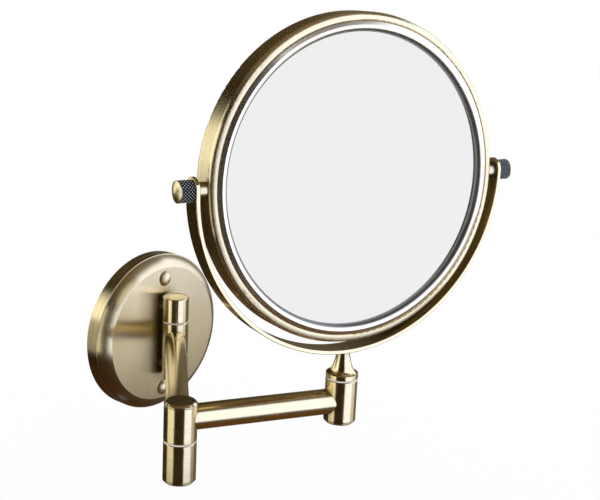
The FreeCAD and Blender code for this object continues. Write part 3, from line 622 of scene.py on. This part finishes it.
def zinc_steel(finish):
    """Plated steel with a cloudy, slightly yellow bloom."""
    material, tree, shader = empty_material("zinc_steel")
    cloud = noise(tree, object_point(tree), STEEL_SCALE, CLOUD_DETAIL)
    mottle(tree, shader, cloud, finish.steel, finish.steel_bloom, STEEL_ROUGHNESS)
    soft = put(tree, "ShaderNodeBevel", {"Radius": finish.edge_round}, samples=STEEL_SAMPLES).outputs[0]
    tree.links.new(soft, shader.inputs["Normal"])
    shader.inputs["Metallic"].default_value = 1.0
    return material


def nylon(finish):
    """Milky washer plastic."""
    material, tree, shader = empty_material("nylon")
    cloud = noise(tree, object_point(tree), NYLON_SCALE)
    mottle(tree, shader, cloud, finish.nylon, finish.nylon_cloud, NYLON_ROUGHNESS)
    return material


def black_fibre(finish):
    """Pressed fibre of the friction washers."""
    material, tree, shader = empty_material("black_fibre")
    strands = noise(tree, object_point(tree), FIBRE_SCALE, LINE_DETAIL)
    mottle(tree, shader, strands, finish.fibre, finish.fibre_strand, FIBRE_ROUGHNESS)
    relief(tree, shader, strands, *FIBRE_RELIEF)
    return material


def foam(finish):
    """Closed-cell foam with small pores."""
    material, tree, shader = empty_material("foam")
    pores = put(tree, "ShaderNodeTexVoronoi",
                {"Vector": object_point(tree), "Scale": FOAM_SCALE}).outputs["Distance"]
    mottle(tree, shader, pores, finish.foam, finish.foam_wall, FOAM_ROUGHNESS)
    relief(tree, shader, pores, *FOAM_RELIEF)
    return material


def placed(piece, centre, axis):
    """Turns a finished piece from the Z axis to an axis through a centre, and applies that."""
    turn = UP.rotation_difference(axis).to_matrix().to_4x4()
    piece.matrix_world = Matrix.Translation(centre) @ turn @ piece.matrix_world
    bpy.ops.object.select_all(action="DESELECT")
    piece.select_set(True)
    bpy.context.view_layer.objects.active = piece
    bpy.ops.object.transform_apply(location=True, rotation=True, scale=True)
    return piece


def stands_for(piece, node, body, material):
    """Puts a modelled piece in the place of a carried-over node."""
    piece.data.materials.clear()
    piece.data.materials.append(material)
    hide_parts(node)
    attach(piece, body)


def drawn_line(name, outline):
    """Line of edges through (radius, height) points in the XZ plane, all points welded."""
    bpy.ops.object.select_all(action="DESELECT")
    bpy.ops.mesh.primitive_plane_add(size=MM, location=(outline[0][0], 0, outline[0][1]))
    line = bpy.context.object
    line.name = name
    bpy.ops.object.mode_set(mode="EDIT")
    bpy.ops.mesh.select_mode(type="VERT")
    bpy.ops.mesh.select_all(action="SELECT")
    bpy.ops.mesh.merge(type="CENTER")
    for here, there in zip(outline, outline[1:]):
        step = (there[0] - here[0], 0, there[1] - here[1])
        bpy.ops.mesh.extrude_vertices_move(TRANSFORM_OT_translate={"value": step})
    bpy.ops.mesh.select_all(action="SELECT")
    bpy.ops.mesh.remove_doubles(threshold=WELD)
    bpy.ops.object.mode_set(mode="OBJECT")
    return line


def spun_ring(name, outline, steps):
    """Ring or turned solid, spun about Z from an outline of (radius, height) points."""
    ring = drawn_line(name, outline)
    bpy.ops.object.mode_set(mode="EDIT")
    bpy.ops.mesh.select_all(action="SELECT")
    bpy.ops.mesh.spin(steps=steps, angle=math.tau, center=(0, 0, 0), axis=(0, 0, 1))
    bpy.ops.mesh.select_all(action="SELECT")
    bpy.ops.mesh.remove_doubles(threshold=WELD)
    bpy.ops.mesh.normals_make_consistent(inside=False)
    bpy.ops.object.mode_set(mode="OBJECT")
    bpy.ops.object.shade_smooth_by_angle(angle=SMOOTH_ANGLE)
    return ring


def bezel_outline(bezel, ridge):
    """Outline of a bezel on its ridge: seat, outer slope, crest, slope to the glass, rabbet."""
    crest = ridge + bezel.crest
    outline = [(bezel.outer_radius, ridge - bezel.seat_drop)]
    round_width = bezel.crest_round * math.sin(bezel.outer_slope)
    round_drop = bezel.crest_round * (1 - math.cos(bezel.outer_slope))
    slope_width = bezel.outer_radius - bezel.crest_radius - round_width
    outline.append((bezel.outer_radius, crest - round_drop - slope_width * math.tan(bezel.outer_slope)))
    for step in range(CREST_STEPS, -1, -1):
        turn = bezel.outer_slope * step / CREST_STEPS
        outline.append((bezel.crest_radius + bezel.crest_round * math.sin(turn),
                        crest - bezel.crest_round * (1 - math.cos(turn))))
    width = bezel.crest_radius - bezel.opening_radius
    roll = (width ** 2 + bezel.slope_drop ** 2) / (2 * bezel.slope_drop)
    whole = math.asin(width / roll)
    for step in range(1, ROLL_STEPS + 1):
        turn = whole * step / ROLL_STEPS
        outline.append((bezel.crest_radius - roll * math.sin(turn), crest - roll * (1 - math.cos(turn))))
    outline.append((bezel.opening_radius, ridge - bezel.glass_drop))
    outline.append((bezel.pocket_radius, ridge - bezel.glass_drop))
    outline.append((bezel.pocket_radius, ridge - bezel.seat_drop))
    outline.append(outline[0])
    return outline


def wall_screw(name, screw, head_radius, length):
    """Wood screw along Z with its tip at zero: a turned core with a coiled thread."""
    seat = length - screw.head_height
    core = spun_ring(name, [
        (0, 0), (screw.tip_radius, 0), (screw.core_radius, screw.taper),
        (screw.core_radius, screw.thread_end), (screw.neck_radius, screw.thread_end),
        (screw.neck_radius, seat), (head_radius, seat),
        (head_radius, seat + HEAD_EDGE_SHARE * screw.head_height),
        (CROWN_RADIUS_SHARE * head_radius, seat + CROWN_HEIGHT_SHARE * screw.head_height),
        (0, length)], SCREW_STEPS)
    inside = THREAD_ROOT_SHARE * screw.core_radius
    flank = THREAD_FLANK_SHARE * screw.pitch
    thread = drawn_line(name + "_thread", [
        (inside, screw.taper), (screw.thread_radius, screw.taper + flank), (inside, screw.taper + 2 * flank),
        (inside, screw.taper)])
    coil = thread.modifiers.new("coil", "SCREW")
    coil.axis = "Z"
    coil.screw_offset = screw.pitch
    coil.iterations = int((screw.thread_end - screw.taper) / screw.pitch) - 1
    coil.steps = THREAD_STEPS
    bpy.ops.object.modifier_apply(modifier=coil.name)
    bpy.ops.object.mode_set(mode="EDIT")
    bpy.ops.mesh.select_all(action="SELECT")
    bpy.ops.mesh.fill_holes(sides=3)
    bpy.ops.mesh.select_all(action="SELECT")
    bpy.ops.mesh.normals_make_consistent(inside=False)
    bpy.ops.object.mode_set(mode="OBJECT")
    core.select_set(True)
    bpy.context.view_layer.objects.active = core
    bpy.ops.object.join()
    return core


def knurled_grip(name, grip):
    """Tube along Z whose outside is raised into rows of staggered four-sided points."""
    bpy.ops.object.select_all(action="DESELECT")
    valley = grip.crest_radius - grip.depth
    bpy.ops.mesh.primitive_circle_add(vertices=grip.points, radius=valley, location=(0, 0, -grip.length / 2))
    tube = bpy.context.object
    tube.name = name
    bpy.ops.object.mode_set(mode="EDIT")
    bpy.ops.mesh.select_all(action="SELECT")
    for _ in range(grip.rows):
        bpy.ops.mesh.extrude_edges_move(TRANSFORM_OT_translate={"value": (0, 0, grip.length / grip.rows)})
    bpy.ops.mesh.select_all(action="SELECT")
    bpy.ops.mesh.normals_make_consistent(inside=False)
    bpy.ops.mesh.poke()
    bpy.ops.mesh.tris_convert_to_quads(face_threshold=math.pi, shape_threshold=math.pi)
    bpy.ops.mesh.poke(offset=grip.depth)
    bpy.ops.mesh.select_all(action="DESELECT")
    bpy.ops.mesh.select_mode(type="EDGE")
    bpy.ops.mesh.select_non_manifold()
    bpy.ops.mesh.extrude_edges_move(TRANSFORM_OT_translate={"value": (0, 0, 0)})
    shrink = grip.bore_radius / valley
    bpy.ops.transform.resize(value=(shrink, shrink, 1), center_override=(0, 0, 0))
    bpy.ops.mesh.bridge_edge_loops()
    bpy.ops.mesh.select_all(action="SELECT")
    bpy.ops.mesh.normals_make_consistent(inside=False)
    bpy.ops.object.mode_set(mode="OBJECT")
    return tube


def mirror_facing(finish):
    """Direction that the front glass faces."""
    return Matrix.Rotation(-finish.mirror_tilt, 3, PIVOT_LINE) @ PIVOT_LINE.cross(UP)


def dress(material, *nodes):
    """Gives carried-over nodes their material."""
    for name in nodes:
        piece = frame["nodes"][name]
        piece.data.materials.clear()
        piece.data.materials.append(material)


class MIRROR_OT_wall_plate(bpy.types.Operator):
    """Brush the wall plate and polish the domes over its screws"""

    bl_idname = "makeup_mirror.wall_plate"
    bl_label = "Wall plate"

    def execute(self, context):
        finish = context.scene.makeup_mirror_finish
        dress(plate_brass(finish), "wall_plate")
        domes = turned_brass("dome_brass", finish, PLATE_CENTRE, INTO_WALL, finish.dome_roughness,
                             DOME_STRETCH)
        dress(domes, "screw_caps", "upper_spacer", "lower_spacer")
        return {"FINISHED"}


class MIRROR_OT_barrels(bpy.types.Operator):
    """Turn the barrels and caps of the three upright hinges"""

    bl_idname = "makeup_mirror.barrels"
    bl_label = "Hinge barrels"

    def execute(self, context):
        finish = context.scene.makeup_mirror_finish
        for name, centre, nodes in (
            ("hinge_brass", HINGE, ("upper_knuckle", "middle_knuckle", "lower_knuckle", "upper_hinge_cap",
                                    "lower_hinge_cap")),
            ("elbow_brass", ELBOW, ("upper_elbow_barrel", "lower_elbow_barrel", "elbow_top_cap",
                                    "elbow_bottom_cap")),
            ("swivel_brass", SWIVEL, ("end_barrel", "end_bottom_cap", "swivel_stem")),
        ):
            brass = turned_brass(name, finish, centre, UP, finish.barrel_roughness, BARREL_STRETCH)
            dress(brass, *nodes)
        return {"FINISHED"}


class MIRROR_OT_arms(bpy.types.Operator):
    """Draw the lines along both arm tubes"""

    bl_idname = "makeup_mirror.arms"
    bl_label = "Arm tubes"

    def execute(self, context):
        finish = context.scene.makeup_mirror_finish
        dress(drawn_brass("inner_arm_brass", finish, HINGE, INNER_ARM_LINE), "inner_arm_tube")
        dress(drawn_brass("outer_arm_brass", finish, ELBOW, OUTER_ARM_LINE), "outer_arm_tube")
        return {"FINISHED"}


class MIRROR_OT_yoke(bpy.types.Operator):
    """Polish the bent strip of the yoke"""

    bl_idname = "makeup_mirror.yoke"
    bl_label = "Yoke"

    def execute(self, context):
        finish = context.scene.makeup_mirror_finish
        strip = turned_brass("yoke_brass", finish, PIVOT, PIVOT_LINE.cross(UP), finish.yoke_roughness,
                             YOKE_STRETCH)
        dress(strip, "yoke", "yoke_screw")
        return {"FINISHED"}


class MIRROR_OT_frame(bpy.types.Operator):
    """Brush the frame band and polish both bezels"""

    bl_idname = "makeup_mirror.frame"
    bl_label = "Frame and bezels"

    def execute(self, context):
        finish = context.scene.makeup_mirror_finish
        bezel = context.scene.makeup_mirror_bezel
        facing = mirror_facing(finish)
        band = turned_brass("band_brass", finish, PIVOT, facing, finish.band_roughness, BAND_STRETCH,
                            finish.frame_line_width, BAND_CORNER_SHADE_SHARE)
        dress(band, "frame_band")
        brass = bezel_brass(finish, facing)
        for node, ridge, outwards in (
            ("front_bezel", bezel.front_ridge, facing),
            ("rear_bezel", bezel.back_ridge, -facing),
        ):
            roll = spun_ring(node + "_roll", bezel_outline(bezel, ridge), bezel.steps)
            stands_for(placed(roll, PIVOT, outwards), node, "mirror_head", brass)
        return {"FINISHED"}


class MIRROR_OT_glasses(bpy.types.Operator):
    """Silver the two mirrors and set the foam between them"""

    bl_idname = "makeup_mirror.glasses"
    bl_label = "Mirror glasses"

    def execute(self, context):
        finish = context.scene.makeup_mirror_finish
        dress(silvered_glass(finish), "front_mirror", "rear_mirror")
        dress(foam(finish), "backing_ring")
        return {"FINISHED"}


class MIRROR_OT_thumbscrews(bpy.types.Operator):
    """Finish the pivots: bosses, friction washers, thumbscrews and their knurled grips"""

    bl_idname = "makeup_mirror.thumbscrews"
    bl_label = "Pivots and thumbscrews"

    def execute(self, context):
        finish = context.scene.makeup_mirror_finish
        grip = context.scene.makeup_mirror_grip
        ends = turned_brass("knob_brass", finish, PIVOT, PIVOT_LINE, finish.knob_roughness, KNOB_STRETCH)
        knurl = knurl_metal(finish, grip)
        fibre = black_fibre(finish)
        left = knurled_grip("left_knurl", grip)
        bpy.ops.object.duplicate()
        right = bpy.context.object
        right.name = "right_knurl"
        for side, tube in (("left", left), ("right", right)):
            dress(ends, side + "_boss", side + "_thumbscrew")
            dress(fibre, side + "_friction_washer")
            node = side + "_knob_grip"
            low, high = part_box(node)
            placed(tube, (Vector(low) + Vector(high)) / 2, PIVOT_LINE)
            stands_for(tube, node, side + "_knob", knurl)
        return {"FINISHED"}


class MIRROR_OT_hardware(bpy.types.Operator):
    """Plate the steel fasteners and give the washers their plastic"""

    bl_idname = "makeup_mirror.hardware"
    bl_label = "Fasteners and washers"

    def execute(self, context):
        finish = context.scene.makeup_mirror_finish
        steel = zinc_steel(finish)
        dress(steel, "spacer_screws", "wall_hinge_pin", "elbow_bolt", "elbow_spring_washer",
              "stem_retaining_washer", "stem_retaining_screw")
        low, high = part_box("wall_screws")
        head_radius = (high[0] - low[0]) / 2
        length = high[1] - low[1]
        screw = wall_screw("wall_screw_pair", context.scene.makeup_mirror_screw, head_radius, length)
        tip = Vector((low[0] + head_radius, high[1], low[2] + head_radius))
        bpy.ops.object.duplicate()
        upper = placed(bpy.context.object, tip + UP * (high[2] - low[2] - 2 * head_radius), -INTO_WALL)
        placed(screw, tip, -INTO_WALL)
        upper.select_set(True)
        bpy.ops.object.join()
        stands_for(screw, "wall_screws", "bracket", steel)
        dress(nylon(finish), "upper_hinge_washer", "lower_hinge_washer", "elbow_washer", "stem_washer")
        return {"FINISHED"}


def panel_at(place):
    """Number of the light panel at a place seen from the tent's middle, or None."""
    bearing = math.degrees(math.atan2(place.x, -place.y))
    height = math.degrees(math.asin(place.normalized().z))
    for index, panel in enumerate(LIGHT_PANELS):
        left, right = panel.bearings
        bottom, top = panel.heights
        if left <= bearing <= right and bottom <= height <= top:
            return index
    return None


def camera_place(studio):
    """Where the camera stands, and the direction back to it."""
    bearing = math.radians(studio.azimuth)
    height = math.radians(studio.elevation)
    level = math.cos(height)
    back = Vector((math.sin(bearing) * level, -math.cos(bearing) * level, math.sin(height)))
    return Vector(studio.aim) + back * studio.distance, back


def new_floor(studio):
    """Pale floor, clear from below so that low views see past it."""
    bpy.ops.object.select_all(action="DESELECT")
    bpy.ops.mesh.primitive_plane_add(size=studio.floor_size, location=(0, 0, studio.floor_height))
    floor = bpy.context.object
    floor.name = "pale_floor"
    material, tree, shader = empty_material("pale_floor")
    shader.inputs["Base Color"].default_value = (*studio.floor_colour, 1)
    shader.inputs["Roughness"].default_value = 1.0
    shader.inputs["Specular IOR Level"].default_value = 0.0
    shader.inputs["Emission Color"].default_value = (1, 1, 1, 1)
    shader.inputs["Emission Strength"].default_value = 1.0 - studio.floor_colour[0]
    below = put(tree, "ShaderNodeNewGeometry", {}).outputs["Backfacing"]
    clear = put(tree, "ShaderNodeBsdfTransparent", {}).outputs[0]
    seen = put(tree, "ShaderNodeMixShader", {0: below, 1: shader.outputs[0], 2: clear}).outputs[0]
    tree.links.new(seen, tree.nodes["Material Output"].inputs["Surface"])
    floor.data.materials.append(material)
    floor.visible_glossy = False


def hang_in_tent(tree, shade, strength=1.0):
    """Shows a glow to the metal; the glass's sharp reflections pass on to the white surround."""
    glow = put(tree, "ShaderNodeEmission", {"Color": shade, "Strength": strength}).outputs[0]
    sharp = put(tree, "ShaderNodeLightPath", {}).outputs["Is Singular Ray"]
    clear = put(tree, "ShaderNodeBsdfTransparent", {}).outputs[0]
    seen = put(tree, "ShaderNodeMixShader", {0: sharp, 1: glow, 2: clear}).outputs[0]
    tree.links.new(seen, tree.nodes["Material Output"].inputs["Surface"])


def tent_cloth(studio):
    """Cloth that glows faintly: dark at the sides, paler on the right, brown below."""
    material, tree, _ = empty_material("tent_cloth")
    moved = vector(tree, "SUBTRACT", object_point(tree), studio.tent_centre)
    way = vector(tree, "NORMALIZE", moved)
    height = put(tree, "ShaderNodeSeparateXYZ", {0: way}).outputs["Z"]
    rightness = put(tree, "ShaderNodeVectorMath", {0: way, 1: RIGHT_WAY}, operation="DOT_PRODUCT")
    shade = studio.side_cloth
    for value, fade, colour in (
        (rightness.outputs["Value"], RIGHT_FADE_SHARES, studio.right_cloth),
        (height, LOW_FADE_SHARES, studio.low_cloth),
        (height, TOP_FADE_SHARES, studio.top_cloth),
    ):
        shade = blend(tree, eased(tree, value, *fade), shade, colour)
    hang_in_tent(tree, shade)
    return material


def panel_light(index, light):
    """One light panel: a colour and its strength."""
    material, tree, _ = empty_material("light_panel_%d" % index)
    strength = max(light)
    colour = [value / strength for value in light]
    hang_in_tent(tree, (*colour, 1), strength)
    return material


def new_tent(studio):
    """Tent that only the metal sees, with its light panels."""
    bpy.ops.object.select_all(action="DESELECT")
    bpy.ops.mesh.primitive_uv_sphere_add(
        segments=TENT_SEGMENTS, ring_count=TENT_RINGS, radius=studio.tent_radius)
    tent = bpy.context.object
    tent.name = "tent"
    tent.data.materials.append(tent_cloth(studio))
    for index, panel in enumerate(LIGHT_PANELS):
        tent.data.materials.append(panel_light(index, panel.light))
    for material in tent.data.materials:
        material.cycles.emission_sampling = "NONE"
    for face in tent.data.polygons:
        index = panel_at(face.center)
        if index is not None:
            face.material_index = index + 1
    tent.location = studio.tent_centre
    bpy.ops.object.transform_apply(location=True)
    tent.visible_camera = False
    tent.visible_diffuse = False
    tent.visible_transmission = False
    tent.visible_shadow = False


def new_camera(context, studio):
    """Camera from its bearing, height, roll and aim."""
    place, back = camera_place(studio)
    data = bpy.data.cameras.new("photo_camera")
    data.lens = studio.lens
    data.sensor_width = SENSOR_WIDTH
    camera = bpy.data.objects.new("photo_camera", data)
    context.collection.objects.link(camera)
    upright = (-back).to_track_quat("-Z", "Y").to_matrix()
    rolled = upright @ Matrix.Rotation(math.radians(studio.roll), 3, "Z")
    camera.matrix_world = Matrix.Translation(place) @ rolled.to_4x4()
    context.scene.camera = camera


class MIRROR_OT_stage(bpy.types.Operator):
    """Build the studio: white surround, pale floor, dark tent with light panels, and the camera"""

    bl_idname = "makeup_mirror.stage"
    bl_label = "Studio"

    def execute(self, context):
        studio = context.scene.makeup_mirror_studio
        world = bpy.data.worlds.new("white_surround")
        world.use_nodes = True
        world.node_tree.nodes["Background"].inputs["Color"].default_value = (1, 1, 1, 1)
        world.cycles.sampling_method = "NONE"
        context.scene.world = world
        context.scene.view_settings.view_transform = "Standard"
        new_floor(studio)
        new_tent(studio)
        new_camera(context, studio)
        return {"FINISHED"}


class MIRROR_PT_panel(bpy.types.Panel):
    """Lists the mirror's steps in the order in which they run."""

    bl_idname = "MIRROR_PT_panel"
    bl_label = "Makeup mirror"
    bl_space_type = "VIEW_3D"
    bl_region_type = "UI"
    bl_category = "Makeup mirror"

    def draw(self, context):
        for step in STEPS:
            self.layout.operator(step.bl_idname)


STEPS = (
    MIRROR_OT_wall_plate,
    MIRROR_OT_barrels,
    MIRROR_OT_arms,
    MIRROR_OT_yoke,
    MIRROR_OT_frame,
    MIRROR_OT_glasses,
    MIRROR_OT_thumbscrews,
    MIRROR_OT_hardware,
    MIRROR_OT_stage,
)
SETTINGS = {
    "makeup_mirror_finish": FinishSettings,
    "makeup_mirror_bezel": BezelSettings,
    "makeup_mirror_grip": GripSettings,
    "makeup_mirror_screw": ScrewSettings,
    "makeup_mirror_studio": StudioSettings,
}
CLASSES = (*SETTINGS.values(), *STEPS, MIRROR_PT_panel)


def register():
    """Adds the classes and the settings to Blender."""
    for cls in CLASSES:
        bpy.utils.register_class(cls)
    for name, group in SETTINGS.items():
        setattr(bpy.types.Scene, name, bpy.props.PointerProperty(type=group))


def unregister():
    """Takes the settings and the classes out again."""
    for name in SETTINGS:
        delattr(bpy.types.Scene, name)
    for cls in reversed(CLASSES):
        bpy.utils.unregister_class(cls)


def main():
    """Runs every step in order."""
    register()
    for step in STEPS:
        group, name = step.bl_idname.split(".")
        getattr(getattr(bpy.ops, group), name)()


if __name__ == "__main__":
    main()
